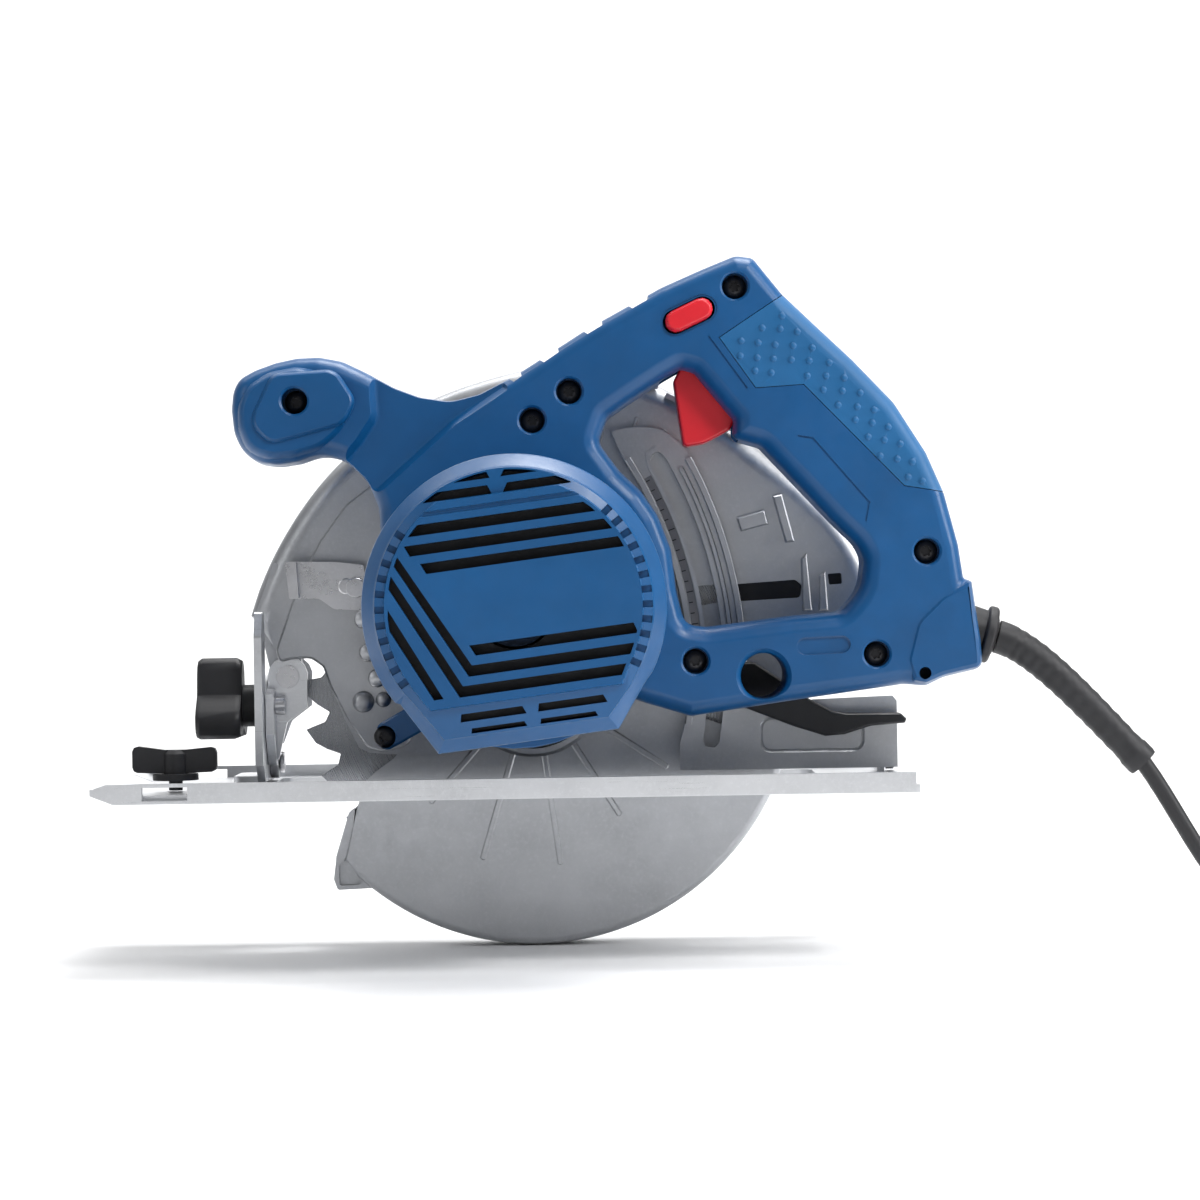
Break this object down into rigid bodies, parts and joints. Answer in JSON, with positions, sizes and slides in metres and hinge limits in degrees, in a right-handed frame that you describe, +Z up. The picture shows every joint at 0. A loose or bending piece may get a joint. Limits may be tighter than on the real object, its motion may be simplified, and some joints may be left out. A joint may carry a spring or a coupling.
{
  "type": "circular saw",
  "caption": "Hand-held electric circular saw with closed handle, front knob, slotted motor cap, blade guards and a tilting sole plate.",
  "frame": {"origin": "centre of the sole plate's underside", "axes": "+X along the sole from its turned-up front to the rear, +Y from the motor side to the blade side, +Z up; the underside of the sole faces -Z"},
  "size_m": [0.5469, 0.316, 0.2634],
  "materials": {
    "stamped_sheet": "stamped aluminium sheet, matt silver",
    "black_plastic": "moulded black, fine texture",
    "cast_aluminium": "die cast, as cast and tumbled",
    "polished_aluminium": "drawn sheet, brushed along the rim",
    "plated_steel": "zinc plated",
    "blade_steel": "ground steel, circular scratches",
    "core_steel": "laminated and hardened steel, dark",
    "copper": "copper bars",
    "grey_plastic": "moulded grey",
    "blue_plastic": "moulded deep blue, satin",
    "blue_soft_grip": "soft moulding with dimples",
    "brass": "sheet brass",
    "carbon": "pressed carbon",
    "red_plastic": "moulded red, satin",
    "black_rubber": "black rubber, matt"
  },
  "bodies": {
    "base": {"sole_plate": "stamped_sheet", "front_quadrant": "stamped_sheet"},
    "guide_clamp_screw": {"guide_clamp_screw": "black_plastic"},
    "bevel_carriage": {"tilt_bracket": "stamped_sheet", "depth_arm": "cast_aluminium", "front_bevel_pin": "plated_steel", "rear_bevel_pin": "plated_steel", "depth_pivot_pin": "plated_steel", "bevel_bolt": "plated_steel"},
    "bevel_knob": {"bevel_knob": "black_plastic"},
    "head": {"upper_guard": "cast_aluminium", "gear_housing": "cast_aluminium", "bearing_bridge": "cast_aluminium", "spindle_lock_pin": "plated_steel", "spindle_front_bearing": "plated_steel", "spindle_rear_bearing": "plated_steel", "armature_front_bearing": "plated_steel", "armature_rear_bearing": "plated_steel", "motor_housing": "blue_plastic", "stator": "core_steel", "brush_holder_left": "brass", "brush_holder_right": "brass", "carbon_brush_left": "carbon", "carbon_brush_right": "carbon", "motor_cap": "blue_plastic", "handle_shell_near": "blue_plastic", "handle_shell_far": "blue_plastic", "grip_pad_near": "blue_soft_grip", "grip_pad_far": "blue_soft_grip", "handle_screw_knob": "plated_steel", "handle_screw_front": "plated_steel", "handle_screw_beam": "plated_steel", "handle_screw_top": "plated_steel", "handle_screw_rear": "plated_steel", "handle_screw_low_front": "plated_steel", "handle_screw_low_rear": "plated_steel", "switch_body": "black_plastic", "depth_clamp_bolt": "plated_steel", "guard_spring": "plated_steel", "cord_gland": "black_rubber", "bend_protector": "black_rubber", "cord_lead": "black_rubber", "cord_coil": "black_rubber", "cord_tail": "black_rubber", "mains_plug": "black_rubber"},
    "depth_lever": {"depth_lever": "black_plastic"},
    "lower_guard": {"lower_guard": "polished_aluminium"},
    "spindle_lock_lever": {"spindle_lock_lever": "plated_steel"},
    "trigger": {"trigger": "red_plastic"},
    "lock_off_button": {"lock_off_button": "red_plastic"},
    "blade_spindle": {"spindle": "plated_steel", "gear_wheel": "core_steel", "inner_flange": "plated_steel", "outer_flange": "plated_steel", "blade_bolt": "plated_steel", "saw_blade": "blade_steel"},
    "armature": {"armature_shaft": "plated_steel", "rotor_core": "core_steel", "commutator": "copper", "cooling_fan": "grey_plastic"}
  },
  "joints": [
    {"name": "guide_clamp_turn", "type": "hinge", "parent": "base", "child": "guide_clamp_screw", "pos_m": [-0.124, -0.035, 0.01], "axis": [0, 0, 1], "range_deg": [0, 360]},
    {"name": "bevel_tilt", "type": "hinge", "parent": "base", "child": "bevel_carriage", "pos_m": [0, 0.045, 0.01], "axis": [-1, 0, 0], "range_deg": [0, 45]},
    {"name": "bevel_knob_turn", "type": "hinge", "parent": "bevel_carriage", "child": "bevel_knob", "pos_m": [-0.11, 0.0273, 0.033], "axis": [-1, 0, 0], "range_deg": [0, 360]},
    {"name": "depth_swing", "type": "hinge", "parent": "bevel_carriage", "child": "head", "pos_m": [-0.087, 0.045, 0.044], "axis": [0, -1, 0], "range_deg": [-3.3, 24.8]},
    {"name": "depth_lever_lift", "type": "hinge", "parent": "head", "child": "depth_lever", "pos_m": [0.08034, 0.013, 0.03669], "axis": [0, -1, 0], "range_deg": [0, 25]},
    {"name": "lower_guard_turn", "type": "hinge", "parent": "head", "child": "lower_guard", "pos_m": [0.0092, 0.045, 0.0404], "axis": [0, -1, 0], "range_deg": [0, 115], "stiffness_Nm_per_rad": 0.12, "springref_deg": -171.89},
    {"name": "spindle_lock_press", "type": "hinge", "parent": "head", "child": "spindle_lock_lever", "pos_m": [-0.059, 0.0208, 0.07826], "axis": [0, 1, 0], "range_deg": [0, 8], "stiffness_Nm_per_rad": 0.4, "springref_deg": -11.46},
    {"name": "trigger_pull", "type": "hinge", "parent": "head", "child": "trigger", "pos_m": [0.06935, -0.015, 0.15622], "axis": [0, -1, 0], "range_deg": [0, 10], "stiffness_Nm_per_rad": 0.8, "springref_deg": -6.88},
    {"name": "lock_off_press", "type": "slide", "parent": "head", "child": "lock_off_button", "axis": [0, 1, 0], "range_m": [0, 0.004], "stiffness_N_per_m": 700, "springref_m": -0.002},
    {"name": "blade_spin", "type": "hinge", "parent": "head", "child": "blade_spindle", "pos_m": [0.0092, 0.045, 0.0404], "axis": [0, 1, 0], "continuous": true},
    {"name": "armature_spin", "type": "hinge", "parent": "head", "child": "armature", "pos_m": [0.00549, 0, 0.07017], "axis": [0, 1, 0], "continuous": true}
  ],
  "couplings": [
    {"joint": "armature_spin", "follows": "blade_spin", "ratio": -3.3636}
  ]
}
